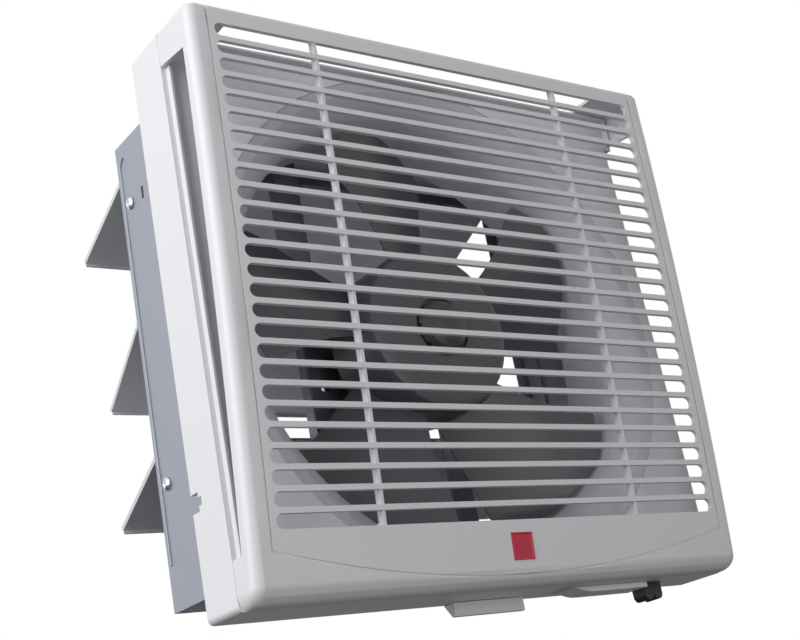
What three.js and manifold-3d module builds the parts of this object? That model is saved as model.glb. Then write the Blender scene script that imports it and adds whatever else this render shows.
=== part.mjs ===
// Wall-mounted window exhaust fan: slotted front cover, plastic base with a bellmouth,
// sheet-steel body box, motor with a five-blade impeller, and three hinged shutter flaps.
//
// Millimetres, +Z up. The room is on the -Y side and the wall plane is y = 0. The origin
// is where the fan's axis crosses the wall plane, the middle of the opening in the wall.

import * as THREE from 'three';
import { mergeVertices } from 'three/addons/utils/BufferGeometryUtils.js';
import Module from 'manifold-3d';

const wasm = await Module();
wasm.setup();

// ---------------------------------------------------------------- driving dimensions

// Overall cover and base.
const faceWidth = 400;
const faceHeight = 374;
const baseDepth = 37;
const baseWall = 3;
const basePlate = 2.5;
const baseCornerRadius = 4;
const cornerSteps = 4;
const seamGap = 0.4;
const runGap = 0.3;
const runningFit = 0.08;

// Front cover: depth in front of the base, measured at the top, middle and bottom.
const coverDepthTop = 40.5;
const coverDepthBottom = 18;
const coverBulge = 4.2;
const coverWall = 3;
const coverSideWall = 2.5;
const coverSideRadius = 7;
const coverBottomRadius = 10;
const coverBottomCorner = 6;
const coverTopRadius = 5;
const coverRoundSteps = 5;
const coverLevels = 10;

// Slots of the grille.
const slotPitch = 12.44;
const slotHeight = 9;
const slotEndFromSide = 18.5;
const topSlotFromEdge = 18;
const bottomSlotFromEdge = 45;
const slotEndSteps = 5;
const ribOffset = 106;
const ribWidth = 2.4;
const ribDepth = 5;
const ribSetBack = 1;

// Open strips in the cover's sides and top.
const sideOpeningFromTop = 29.5;
const sideOpeningFromBottom = 29;
const sideOpeningFromFront = 10;
const sideOpeningSlant = 3.5;
const topOpeningFromSide = 37;

// Decorative groove: two uprights joined by a shallow arc across the lower band.
const grooveFromSide = 14;
const grooveWidth = 1.4;
const grooveDepth = 0.7;
const grooveArcRadius = 759;
const grooveArcRise = 5.8;
const grooveSteps = 16;

// Locating lip on the base, inside the cover's wall. It is left out at the bottom latch and
// beside the right-hand opening, where the base's front edge is cut back for the air.
const lipInset = 3.5;
const lipThickness = 1.6;
const lipHeight = 4.8;
const lipBreakHalfLength = 60;
const edgeReliefWidth = 7;
const edgeReliefDepth = 8.7;

// Notch in the left-hand rear edge of the base.
const notchTop = -110;
const notchHeight = 11.5;
const notchDepth = 8.5;
const notchStemHeight = 5;
const notchStemDepth = 12;

// Bellmouth.
const rimClearance = 0.6;
const throatClearance = 0.8;
const throatRear = 30;
const flareAxial = 26;
const bellmouthWall = 2;
const bellmouthSegments = 56;
const flareSteps = 5;
const lugRoot = 7;
const lugLength = 14.6;
const lugWidth = 24;
const lugThickness = 3;
const lugScrewFromRim = 6.6;

// Sheet-steel body box.
const boxDepth = 88;
const sheet = 1.2;
const flangeWidth = 14;
const flangeSetBack = 3;
const flangeToSkirtSide = 9;
const flangeToSkirtTop = 0.5;
const flangeToSkirtBottom = 7.5;
const flangeHoleFromEnd = 6.5;
const flangeHolePastCentre = 1;
const leftHem = 3.5;
const rightHem = 12;
const topHem = 12;
const bottomHem = 7;
const sideSlotLength = 9;
const sideSlotWidth = 3;
const sideSlotAhead = 18;

// Shutter flaps, hinged along their top edges. The angles are those of the photograph.
const flapCount = 3;
const flapPivotFromTop = 17.5;
const flapSpaceBelow = 10;
const flapPivotFromRear = 11;
const flapLapGaps = [5, 7, 12.5];
const flapOpenDegrees = [66.4, 52.2, 62.2];
const flapSheet = 1;
const flapSideFlange = 2.4;
const flapSideFlangeStart = 12;
const flapLip = 3;
const flapEndClearance = 1.5;
const flapToHem = 1;
const knuckleRadius = 3.4;
const knuckleLength = 46;
const knuckleSegments = 16;
const rodRadius = 2;
const rodSegments = 20;
const stripThickness = 2;
const stripWidth = 14;
const stripScrewAheadOfRod = 3;
const stripScrewBelowRod = [31, 30];

// Motor and its two upright stays.
const motorRadius = 42;
const motorFront = 8;
const motorSplitFromRear = 32;
const motorRearFromRear = 15;
const motorNoseRadius = 21;
const motorNoseSlope = 4;
const motorShoulderRadius = 36;
const motorShoulder = 7;
const motorRearRadius = 35;
const motorSegments = 40;
const motorPlateCorner = 8;
const motorPlateHalfWidth = 65;
const motorPlateHalfHeight = 30;
const motorPlateThickness = 3;
const stayOffset = 54;
const stayWidth = 20;
const staySheet = 1.6;
const stayFlange = 10;
const stayFootLength = 14;
const motorScrewZ = 20;

// Impeller.
const tipClearance = 5.5;
const bladeCount = 5;
const hubRadius = 60;
const hubWall = 3;
const hubFront = -21;
const hubRear = 28;
const hubShoulder = 9;
const hubShoulderEase = 2.7;
const hubSeatDepth = 2;
const hubSeatRim = 1;
const hubSeatMargin = 2;
const hubFloor = 2;
const hubBossRadius = 10;
const hubBossRear = 6;
const hubSegments = 48;
const bladeRootThickness = 3;
const bladeTipThickness = 1.8;
const bladeTrailingDegrees = 71.5;
const bladeRootSpanDegrees = 33.5;
const bladeSweepDegrees = 18;
const bladeTrailingSlantDegrees = 2;
const bladeSweepPower = 0.9;
const bladeRootFlare = { degrees: 6, power: 3 };
const leadingCorner = { start: 0.82, degrees: 13 };
const trailingCorner = { start: 0.84, degrees: 7 };
const cornerPower = 2.4;
const bladeTrailingY = 20;
const bladeRootLeadingY = -4;
const bladeTipLeadingY = -17;
const bladeLeanPower = 0.8;
const bladeCamberPower = { root: 1.2, tip: 2.1 };
const bladeEdgeShare = 0.35;
const bladeRadialSteps = 9;
const bladeStepPower = 0.85;
const bladeChordSteps = 8;
const shaftRadius = 4;
const shaftSegments = 24;
const shaftPastHub = 8;
const shaftShortOfMotor = 3;
const spinnerRadius = 20;
const spinnerLength = 11;
const spinnerTipRadius = 11;
const spinnerTipRound = 1.5;
const spinnerMidRadius = 17;
const spinnerMidDepth = 4.4;
const spinnerSegments = 32;
const spinnerFlutes = 8;
const spinnerFluteRadius = 3;
const spinnerFluteOffset = 1.6;
const washerRadius = 16;
const washerThickness = 1.2;

// Screws.
const screwRadius = 1.9;
const screwHeadRadius = 4.4;
const screwHeadHeight = 2.4;
const screwCrownRadius = 2.6;
const screwRimHeight = 1.1;
const screwSegments = 10;
const baseScrewLength = 14;
const blindHoleSkin = 0.8;
const bossSegments = 16;
const screwEndGap = 0.3;

// Wiring side, underneath at the right.
const glandFromSide = 62;
const glandY = -20;
const glandWidth = 17;
const glandDepth = 12;
const glandHeight = 12;
const glandLobeRadius = 4.2;
const glandSegments = 16;
const glandNeckRadius = 5.2;
const glandNeckHeight = 7;
const cordBoreRadius = 3.3;
const wireCoverStartFromGland = 82;
const wireCoverHeight = 3.6;
const wireCoverDepth = 20;
const wireCoverSlope = 22;
const wireCoverSteps = 8;
const terminalBoxSize = { x: 25, y: 24, z: 22 };
const terminalBoxFromBoss = 1;
const bossWall = 3;
const catchHalfWidth = 29.5;
const catchHeight = 9;
const catchFront = -12;
const catchRear = -1;
const catchNose = 4;

// ---------------------------------------------------------------- derived places

const halfWidth = faceWidth / 2;
const halfHeight = faceHeight / 2;
const baseFront = -(baseDepth - seamGap);
const coverRear = -baseDepth;
const slotHalfLength = halfWidth - slotEndFromSide;
const slotCount = Math.round((faceHeight - topSlotFromEdge - bottomSlotFromEdge) / slotPitch) + 1;
const slotTopZ = halfHeight - topSlotFromEdge;
const slotBottomZ = slotTopZ - (slotCount - 1) * slotPitch;
const sideOpeningTop = halfHeight - sideOpeningFromTop;
const sideOpeningBottom = sideOpeningFromBottom - halfHeight;
const topOpeningHalfLength = halfWidth - topOpeningFromSide;
const grooveOffset = halfWidth - grooveFromSide;
const boreClearance = screwRadius + runGap;
const bossRadius = boreClearance + bossWall;
const plateBack = baseFront + basePlate;
const boxHalfWidth = halfWidth - baseWall - flangeToSkirtSide - flangeWidth;
const boxTop = halfHeight - baseWall - flangeToSkirtTop - flangeWidth;
const boxBottom = flangeWidth + flangeToSkirtBottom + baseWall - halfHeight;
const flangeRear = -flangeSetBack;
const flangeFront = flangeRear - sheet;
const rimRadius = Math.min(halfWidth, halfHeight) - baseWall - rimClearance;
const rimHoleRadius = rimRadius + runGap;
const rimFront = baseFront + runGap;
const throatRadius = Math.min(boxHalfWidth, -boxBottom) - sheet - throatClearance - bellmouthWall;
const flareRadial = rimRadius - throatRadius;
const impellerRadius = throatRadius - tipClearance;
const shaftFront = hubFront - shaftPastHub;
const lugFront = plateBack + runGap;
const lugRear = lugFront + lugThickness;
const blindHoleFront = baseFront + blindHoleSkin;
const stripHalfSpan = boxHalfWidth - sheet - runGap;
const flapLeft = stripThickness + flapEndClearance - stripHalfSpan;
const flapRight = boxHalfWidth - rightHem - flapToHem;
const rodHalfLength = stripHalfSpan - runGap;
const flapTopPivotZ = boxTop - flapPivotFromTop;
const flapPitch = (flapTopPivotZ - boxBottom - flapSpaceBelow) / flapCount;
const flapPivotZ = (row) => flapTopPivotZ - row * flapPitch;
const flapChord = (row) => flapPitch - flapLapGaps[row];
const flapPivotY = boxDepth - flapPivotFromRear;
const motorSplit = boxDepth - motorSplitFromRear;
const motorRear = boxDepth - motorRearFromRear;
const shaftRear = motorRear - shaftShortOfMotor;
const glandX = halfWidth - glandFromSide;
const wireCoverStartX = glandX - wireCoverStartFromGland;
const stayFront = motorSplit + runGap;
const stayScrewY = stayFront - stayFootLength / 2;
const stripScrewPlaces = [0, flapCount - 1].map((row, end) => (
  { y: flapPivotY - stripScrewAheadOfRod, z: flapPivotZ(row) - stripScrewBelowRod[end] }));
const baseScrewX = boxHalfWidth + flangeWidth / 2 + flangeHolePastCentre;
const baseScrewZ = -boxBottom - flangeHoleFromEnd;

// ---------------------------------------------------------------- materials

const paint = (color, roughness, metalness) =>
  new THREE.MeshStandardMaterial({ color, roughness, metalness });

const materials = {
  cover: paint('#b9b9bb', 0.45, 0),
  base: paint('#e6e6ea', 0.45, 0),
  bellmouth: paint('#c9c9cc', 0.5, 0),
  steel: paint('#a7adba', 0.42, 0.55),
  flap: paint('#8b919c', 0.45, 0.5),
  bright: paint('#d2d4d8', 0.25, 0.95),
  motor: paint('#6f7178', 0.5, 0.4),
  impeller: paint('#55525a', 0.45, 0),
  spinner: paint('#47454b', 0.4, 0),
  black: paint('#171719', 0.5, 0),
};

// ---------------------------------------------------------------- geometry helpers

function toSolid(geometry) {
  const bare = geometry.clone();
  bare.deleteAttribute('normal');
  bare.deleteAttribute('uv');
  const merged = mergeVertices(bare, 1e-4);
  const mesh = new wasm.Mesh({
    numProp: 3,
    vertProperties: new Float32Array(merged.attributes.position.array),
    triVerts: new Uint32Array(merged.index.array),
  });
  return new wasm.Manifold(mesh);
}

function toGeometry(solid) {
  const mesh = solid.getMesh();
  const geometry = new THREE.BufferGeometry();
  geometry.setAttribute('position', new THREE.BufferAttribute(mesh.vertProperties, 3));
  geometry.setIndex(new THREE.BufferAttribute(mesh.triVerts, 1));
  geometry.computeVertexNormals();
  return geometry;
}

const join = (first, ...rest) => rest.reduce((sum, solid) => sum.add(solid), first);
const cut = (first, ...rest) => rest.reduce((left, solid) => left.subtract(solid), first);
const lerp = THREE.MathUtils.lerp;
const radians = THREE.MathUtils.degToRad;

// The radius at which a many-sided hole's flats clear a round pin by the running fit.
const boreAround = (radius, segments) => (radius + runningFit) / Math.cos(Math.PI / segments);

function box(x0, x1, y0, y1, z0, z1) {
  const geometry = new THREE.BoxGeometry(x1 - x0, y1 - y0, z1 - z0);
  geometry.translate((x0 + x1) / 2, (y0 + y1) / 2, (z0 + z1) / 2);
  return toSolid(geometry);
}

function shapeFrom(points) {
  return new THREE.Shape(points.map(([a, b]) => new THREE.Vector2(a, b)));
}

// An outline given as (y, z) points, drawn out along X.
function extrudeAlongX(points, x0, x1) {
  const geometry = new THREE.ExtrudeGeometry(shapeFrom(points), { depth: x1 - x0, bevelEnabled: false });
  const yAxis = new THREE.Vector3(0, 1, 0);
  const zAxis = new THREE.Vector3(0, 0, 1);
  const xAxis = new THREE.Vector3(1, 0, 0);
  geometry.applyMatrix4(new THREE.Matrix4().makeBasis(yAxis, zAxis, xAxis));
  geometry.translate(x0, 0, 0);
  return toSolid(geometry);
}

// A shape given in (x, z), drawn out along Y from y0 to y1.
function extrudeAlongY(shape, y0, y1, curveSegments = 6) {
  const geometry = new THREE.ExtrudeGeometry(shape, { depth: y1 - y0, bevelEnabled: false, curveSegments });
  geometry.rotateX(Math.PI / 2);
  geometry.translate(0, y1, 0);
  return toSolid(geometry);
}

// An outline given as (x, y) points, drawn out along Z.
function extrudeAlongZ(points, z0, z1) {
  const geometry = new THREE.ExtrudeGeometry(shapeFrom(points), { depth: z1 - z0, bevelEnabled: false });
  geometry.translate(0, 0, z0);
  return toSolid(geometry);
}

function cylinderY(radius, y0, y1, x = 0, z = 0, segments = screwSegments) {
  const geometry = new THREE.CylinderGeometry(radius, radius, y1 - y0, segments);
  geometry.translate(x, (y0 + y1) / 2, z);
  return toSolid(geometry);
}

function cylinderX(radius, x0, x1, y = 0, z = 0, segments = screwSegments) {
  const geometry = new THREE.CylinderGeometry(radius, radius, x1 - x0, segments);
  geometry.rotateZ(Math.PI / 2);
  geometry.translate((x0 + x1) / 2, y, z);
  return toSolid(geometry);
}

function cylinderZ(radius, z0, z1, x = 0, y = 0, segments = screwSegments) {
  const geometry = new THREE.CylinderGeometry(radius, radius, z1 - z0, segments);
  geometry.rotateX(Math.PI / 2);
  geometry.translate(x, y, (z0 + z1) / 2);
  return toSolid(geometry);
}

// A profile of (radius, y) points turned about the fan's axis. A profile that leaves the
// axis is closed by repeating its first point.
function turned(profile, segments) {
  const points = profile.map(([r, y]) => new THREE.Vector2(r, y));
  return toSolid(new THREE.LatheGeometry(points, segments));
}

function roundedRectangle(halfX, halfZ, radius, path = new THREE.Shape()) {
  const corners = [[halfX - radius, radius - halfZ, -90], [halfX - radius, halfZ - radius, 0],
    [radius - halfX, halfZ - radius, 90], [radius - halfX, radius - halfZ, 180]];
  path.moveTo(halfX - radius, -halfZ);
  for (const [x, z, start] of corners) {
    path.absarc(x, z, radius, radians(start), radians(start + 90), false);
  }
  path.closePath();
  return path;
}

// A closed solid through rings of equally many points; each ring is flat and convex.
function loft(rings) {
  const count = rings[0].length;
  const positions = rings.flat().flatMap((point) => [point.x, point.y, point.z]);
  const index = [];
  for (let ring = 0; ring < rings.length - 1; ring += 1) {
    for (let side = 0; side < count; side += 1) {
      const a = ring * count + side;
      const b = ring * count + ((side + 1) % count);
      index.push(a, b, a + count, b, b + count, a + count);
    }
  }
  const last = (rings.length - 1) * count;
  for (let side = 1; side < count - 1; side += 1) {
    index.push(0, side + 1, side);
    index.push(last, last + side, last + side + 1);
  }
  const geometry = new THREE.BufferGeometry();
  geometry.setAttribute('position', new THREE.Float32BufferAttribute(positions, 3));
  geometry.setIndex(index);
  return toSolid(geometry);
}

const fan = new THREE.Group();

function addPart(name, solid, material) {
  const mesh = new THREE.Mesh(toGeometry(solid), material);
  mesh.name = name;
  fan.add(mesh);
  return mesh;
}

// ---------------------------------------------------------------- front cover

// The cover's front face leans back towards the bottom and swells along a long arc.
function coverFrontY(z) {
  const rise = (z + halfHeight) / faceHeight;
  const straight = lerp(coverDepthBottom, coverDepthTop, rise);
  return -baseDepth - straight - 4 * coverBulge * rise * (1 - rise);
}

// One level of the cover: a rectangle with round front corners. Near the top and bottom
// it is pulled in from the front and from the sides.
function coverRing(z, walls, fromFront, fromSides) {
  const x = halfWidth - walls.side - fromSides;
  const front = coverFrontY(z) + walls.front + fromFront;
  const radius = coverSideRadius - walls.front;
  const ring = [new THREE.Vector3(x, walls.rear, z), new THREE.Vector3(-x, walls.rear, z)];
  const quarter = Math.PI / 2;
  const turns = Array.from({ length: coverRoundSteps + 1 }, (_, step) => (quarter * step) / coverRoundSteps);
  for (const turn of turns) {
    ring.push(new THREE.Vector3(radius * (1 - Math.cos(turn)) - x, front + radius * (1 - Math.sin(turn)), z));
  }
  for (const turn of turns.reverse()) {
    ring.push(new THREE.Vector3(x - radius * (1 - Math.cos(turn)), front + radius * (1 - Math.sin(turn)), z));
  }
  return ring;
}

function coverBody(walls) {
  const bottom = -halfHeight + walls.side;
  const top = halfHeight - walls.side;
  const low = coverBottomRadius - walls.front;
  const corner = coverBottomCorner - walls.front;
  const high = coverTopRadius - walls.front;
  const rings = [];
  for (let step = 0; step < coverRoundSteps; step += 1) {
    const turn = (Math.PI / 2) * (step / coverRoundSteps);
    const pull = 1 - Math.sin(turn);
    rings.push(coverRing(bottom + low * (1 - Math.cos(turn)), walls, low * pull, corner * pull));
  }
  for (let level = 0; level <= coverLevels; level += 1) {
    rings.push(coverRing(lerp(bottom + low, top - high, level / coverLevels), walls, 0, 0));
  }
  for (let step = coverRoundSteps - 1; step >= 0; step -= 1) {
    const turn = (Math.PI / 2) * (step / coverRoundSteps);
    const pull = 1 - Math.sin(turn);
    rings.push(coverRing(top - high * (1 - Math.cos(turn)), walls, high * pull, high * pull));
  }
  return loft(rings);
}

function slotCutter(z) {
  const radius = slotHeight / 2;
  const reach = slotHalfLength - radius;
  const slot = new THREE.Shape();
  slot.absarc(reach, z, radius, -Math.PI / 2, Math.PI / 2, false);
  slot.absarc(-reach, z, radius, Math.PI / 2, Math.PI * 1.5, false);
  const front = coverFrontY(z);
  return extrudeAlongY(slot, front - coverWall, front + coverWall + ribSetBack, slotEndSteps);
}

// The strip left open in each side runs from the base to the start of the front rounding.
function sideOpeningCutter(x0, x1) {
  const outline = [[coverRear + 1, sideOpeningBottom], [coverRear + 1, sideOpeningTop + sideOpeningSlant]];
  for (let step = 0; step <= coverLevels; step += 1) {
    const z = lerp(sideOpeningTop, sideOpeningBottom, step / coverLevels);
    outline.push([coverFrontY(z) + sideOpeningFromFront, z]);
  }
  return extrudeAlongX(outline, x0, x1);
}

function topOpeningCutter() {
  const front = coverFrontY(halfHeight) + sideOpeningFromFront;
  return box(-topOpeningHalfLength, topOpeningHalfLength, front, coverRear + 1,
    halfHeight - coverSideRadius, halfHeight + 1);
}

// An upright rib behind the bars, following the curve of the front.
function grilleRib(x) {
  const outline = [];
  const top = slotTopZ + slotHeight;
  const bottom = slotBottomZ - slotHeight;
  for (let step = 0; step <= coverLevels; step += 1) {
    const z = lerp(bottom, top, step / coverLevels);
    outline.push([coverFrontY(z) + ribSetBack, z]);
  }
  for (let step = coverLevels; step >= 0; step -= 1) {
    const z = lerp(bottom, top, step / coverLevels);
    outline.push([coverFrontY(z) + ribSetBack + ribDepth, z]);
  }
  return extrudeAlongX(outline, x - ribWidth / 2, x + ribWidth / 2);
}

function grooveOutline() {
  const arcLow = -halfHeight + grooveArcRise;
  const arcZ = (x) => arcLow + (x * x) / (2 * grooveArcRadius);
  const half = grooveWidth / 2;
  const outer = [[-grooveOffset - half, halfHeight + 1]];
  const inner = [[-grooveOffset + half, halfHeight + 1]];
  for (let step = 0; step <= grooveSteps; step += 1) {
    const x = lerp(-grooveOffset, grooveOffset, step / grooveSteps);
    outer.push([x * (1 + half / grooveOffset), arcZ(x) - half]);
    inner.push([x * (1 - half / grooveOffset), arcZ(x) + half]);
  }
  outer.push([grooveOffset + half, halfHeight + 1]);
  inner.push([grooveOffset - half, halfHeight + 1]);
  return [...outer, ...inner.reverse()];
}

function buildFrontGrille() {
  const outer = coverBody({ front: 0, side: 0, rear: coverRear });
  const inner = coverBody({ front: coverWall, side: coverSideWall, rear: coverRear + 1 });
  const core = outer.translate([0, grooveDepth, 0]);
  const groove = extrudeAlongY(shapeFrom(grooveOutline()), coverFrontY(halfHeight) - 1, coverRear);
  const shell = cut(outer, inner, groove.intersect(cut(outer, core)));
  const openings = [
    sideOpeningCutter(-halfWidth - 1, coverSideRadius - halfWidth),
    sideOpeningCutter(halfWidth - coverSideRadius, halfWidth + 1),
    topOpeningCutter(),
  ];
  const slots = Array.from({ length: slotCount }, (_, row) => slotCutter(slotTopZ - row * slotPitch));
  const pierced = cut(shell, ...openings, ...slots);
  addPart('front_grille', join(pierced, grilleRib(-ribOffset), grilleRib(ribOffset)), materials.cover);
}

// ---------------------------------------------------------------- base and bellmouth

const quarterPlaces = [[1, 1], [-1, 1], [-1, -1], [1, -1]];
const lugScrewRadius = rimRadius + lugScrewFromRim;
const lugScrewOffset = lugScrewRadius * Math.SQRT1_2;

function frameRing(inset, thickness, y0, y1) {
  const radius = baseCornerRadius - inset / 2;
  const ring = roundedRectangle(halfWidth - inset, halfHeight - inset, radius);
  const innerRadius = Math.max(radius - thickness, 1);
  const hole = roundedRectangle(halfWidth - inset - thickness, halfHeight - inset - thickness, innerRadius,
    new THREE.Path());
  ring.holes.push(hole);
  return extrudeAlongY(ring, y0, y1, cornerSteps);
}

// The space that the bellmouth's rim takes up in the base.
function rimSpace() {
  return cylinderY(rimHoleRadius, baseFront, plateBack + baseWall, 0, 0, bellmouthSegments);
}

// The lip is missing along the middle of the bottom and beside the right-hand opening.
function buildLip() {
  const front = baseFront - lipHeight;
  const ring = frameRing(lipInset, lipThickness, front, baseFront + basePlate / 2);
  const bottomBreak = box(-lipBreakHalfLength, lipBreakHalfLength, front - 1, baseFront, -halfHeight, 0);
  const sideTop = sideOpeningTop + sideOpeningSlant;
  const sideBreak = box(0, halfWidth, front - 1, baseFront, sideOpeningBottom, sideTop);
  return cut(ring, bottomBreak, sideBreak, rimSpace());
}

// The wedge taken off the front edge beside the right-hand opening.
function edgeRelief() {
  const outline = [[halfWidth - edgeReliefWidth, baseFront], [halfWidth, baseFront + edgeReliefDepth],
    [halfWidth + 1, baseFront + edgeReliefDepth + 1], [halfWidth + 1, baseFront - 1],
    [halfWidth - edgeReliefWidth - 1, baseFront - 1]];
  return extrudeAlongZ(outline, sideOpeningBottom, sideOpeningTop);
}

// The material that stays behind the relief, so that the skirt keeps its wall.
function edgeBacking() {
  const outline = [[halfWidth - edgeReliefWidth - baseWall, plateBack - 1],
    [halfWidth - baseWall / 2, baseFront + edgeReliefDepth - 1],
    [halfWidth - baseWall / 2, baseFront + edgeReliefDepth + baseWall],
    [halfWidth - edgeReliefWidth - baseWall, plateBack + baseWall]];
  const backing = extrudeAlongZ(outline, sideOpeningBottom - baseWall, sideOpeningTop + baseWall);
  return cut(backing, rimSpace());
}

// A T-shaped notch for a wire in the rear edge of the left side.
function rearNotch() {
  const x0 = -halfWidth - 1;
  const x1 = baseWall - halfWidth + 1;
  const middle = notchTop - notchHeight / 2;
  return join(box(x0, x1, -notchDepth, 1, notchTop - notchHeight, notchTop),
    box(x0, x1, -notchStemDepth, 1, middle - notchStemHeight / 2, middle + notchStemHeight / 2));
}

function buildBaseFrame() {
  const skirt = frameRing(0, baseWall, baseFront, 0);
  const face = roundedRectangle(halfWidth, halfHeight, baseCornerRadius);
  const plate = extrudeAlongY(face, baseFront, plateBack, cornerSteps);
  const opening = cylinderY(rimHoleRadius, baseFront - 1, plateBack + 1, 0, 0, bellmouthSegments);
  const bossRear = flangeFront - runGap;
  const bosses = quarterPlaces.map(([sx, sz]) =>
    cylinderY(bossRadius, plateBack - 1, bossRear, sx * baseScrewX, sz * baseScrewZ, bossSegments));
  const bossBottom = flangeRear - baseScrewLength - screwEndGap;
  const bores = quarterPlaces.flatMap(([sx, sz]) => [
    cylinderY(boreClearance, bossBottom, bossRear + 1, sx * baseScrewX, sz * baseScrewZ),
    cylinderY(boreClearance, blindHoleFront, plateBack + 1, sx * lugScrewOffset, sz * lugScrewOffset),
  ]);
  const neckHole = cylinderZ(glandNeckRadius + runGap, -halfHeight - 1, baseWall + 1 - halfHeight,
    glandX, glandY, glandSegments);
  const body = join(cut(plate, opening), skirt, edgeBacking(), buildLip(), ...bosses);
  addPart('base_frame', cut(body, ...bores, edgeRelief(), rearNotch(), neckHole), materials.base);
}

function flareProfile(offset) {
  const profile = [];
  for (let step = 0; step <= flareSteps; step += 1) {
    const turn = (Math.PI / 2) * (step / flareSteps);
    const r = rimRadius - (flareRadial - offset) * Math.sin(turn);
    const y = rimFront + offset + (flareAxial - offset) * (1 - Math.cos(turn));
    profile.push([r, y]);
  }
  return profile;
}

function bellmouthLug(angle) {
  const lug = box(rimRadius - lugRoot, rimRadius + lugLength, lugFront, lugRear, -lugWidth / 2, lugWidth / 2);
  return lug.rotate([0, angle, 0]);
}

function buildBellmouth() {
  const inside = flareProfile(0);
  const outside = flareProfile(bellmouthWall).reverse();
  const rear = [[throatRadius, throatRear], [throatRadius + bellmouthWall, throatRear]];
  const ring = turned([...inside, ...rear, ...outside, inside[0]].reverse(), bellmouthSegments);
  const lugs = [45, 135, 225, 315].map(bellmouthLug);
  const holes = quarterPlaces.map(([sx, sz]) =>
    cylinderY(boreClearance, lugFront - 1, lugRear + 1, sx * lugScrewOffset, sz * lugScrewOffset));
  addPart('bellmouth', cut(join(ring, ...lugs), ...holes), materials.bellmouth);
}

// ---------------------------------------------------------------- steel body box

// Side sheet: outward flange behind the base, the wall of the box and a narrow hem.
function sidePanelOutline(hem) {
  const flangeEnd = boxHalfWidth + flangeWidth;
  const hemEnd = boxHalfWidth - hem;
  const inside = boxHalfWidth - sheet;
  return [
    [inside, flangeFront], [flangeEnd, flangeFront], [flangeEnd, flangeRear], [boxHalfWidth, flangeRear],
    [boxHalfWidth, boxDepth], [hemEnd, boxDepth], [hemEnd, boxDepth - sheet], [inside, boxDepth - sheet],
  ];
}

function buildSidePanel(name, side, hem) {
  const outline = sidePanelOutline(hem).map(([x, y]) => [x * side, y]);
  const sheetBody = extrudeAlongZ(outline, boxBottom, boxTop);
  const x0 = side > 0 ? boxHalfWidth - sheet - 1 : -boxHalfWidth - 1;
  const x1 = x0 + sheet + 2;
  const screwHoles = stripScrewPlaces.map(({ y, z }) => cylinderX(boreClearance, x0, x1, y, z));
  const slotY = stripScrewPlaces[0].y - sideSlotAhead;
  const slotZ = stripScrewPlaces[0].z;
  const slot = box(x0, x1, slotY - sideSlotWidth / 2, slotY + sideSlotWidth / 2,
    slotZ - sideSlotLength / 2, slotZ + sideSlotLength / 2);
  const flangeHoles = [-1, 1].map((end) =>
    cylinderY(boreClearance, flangeFront - 1, flangeRear + 1, side * baseScrewX, end * baseScrewZ));
  addPart(name, cut(sheetBody, ...screwHoles, slot, ...flangeHoles), materials.steel);
}

// Top and bottom sheets fit between the side sheets.
function buildLevelPanel(name, side, level, hem) {
  const up = (distance) => level + side * distance;
  const outline = [
    [flangeFront, up(-sheet)], [flangeFront, up(flangeWidth)],
    [flangeRear, up(flangeWidth)], [flangeRear, up(0)],
    [boxDepth, up(0)], [boxDepth, up(-hem)], [boxDepth - sheet, up(-hem)], [boxDepth - sheet, up(-sheet)],
  ];
  const halfSpan = boxHalfWidth - sheet - runGap;
  const folded = extrudeAlongX(outline, -halfSpan, halfSpan);
  const leftEnd = leftHem + runGap - boxHalfWidth;
  const rightEnd = boxHalfWidth - rightHem - runGap;
  const hemFront = boxDepth - sheet - runGap;
  const corners = [
    box(-halfSpan - 1, leftEnd, hemFront, boxDepth + 1, level - hem - 1, level + hem + 1),
    box(rightEnd, halfSpan + 1, hemFront, boxDepth + 1, level - hem - 1, level + hem + 1),
  ];
  const holes = [-1, 1].map((end) =>
    cylinderZ(boreClearance, level - sheet - 1, level + sheet + 1, end * stayOffset, stayScrewY));
  addPart(name, cut(folded, ...corners, ...holes), materials.steel);
}

function buildBodyBox() {
  buildSidePanel('body_side_left', -1, leftHem);
  buildSidePanel('body_side_right', 1, rightHem);
  buildLevelPanel('body_top', 1, boxTop, topHem);
  buildLevelPanel('body_bottom', -1, boxBottom, bottomHem);
}

// ---------------------------------------------------------------- shutter flaps

// The flap is drawn hanging straight down from its pivot at the origin, then swung open.
function flapBody(chord) {
  const outer = knuckleRadius;
  const inner = outer - flapSheet;
  const section = [[inner, 0], [inner, flapSheet - chord], [inner - flapLip, flapSheet - chord],
    [inner - flapLip, -chord], [outer, -chord], [outer, 0]];
  const plate = extrudeAlongX(section, flapLeft, flapRight);
  const flange = (x0) => box(x0, x0 + flapSheet, inner, outer + flapSideFlange, -chord, -flapSideFlangeStart);
  const bore = cylinderX(boreAround(rodRadius, rodSegments), flapLeft - 1, flapRight + 1, 0, 0, rodSegments);
  const knuckleStarts = [flapLeft, (flapLeft + flapRight - knuckleLength) / 2, flapRight - knuckleLength];
  const knuckles = knuckleStarts.map((x0) => cylinderX(outer, x0, x0 + knuckleLength, 0, 0, knuckleSegments));
  return cut(join(plate, flange(flapLeft), flange(flapRight - flapSheet), ...knuckles), bore);
}

function buildFlaps() {
  for (let row = 0; row < flapCount; row += 1) {
    const flap = addPart(`shutter_flap_${row + 1}`, flapBody(flapChord(row)), materials.flap);
    const rodBody = cylinderX(rodRadius, -rodHalfLength, rodHalfLength, 0, 0, rodSegments);
    const rod = addPart(`flap_rod_${row + 1}`, rodBody, materials.bright);
    for (const piece of [flap, rod]) {
      piece.position.set(0, flapPivotY, flapPivotZ(row));
      piece.rotation.x = radians(flapOpenDegrees[row]);
    }
  }
}

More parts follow.
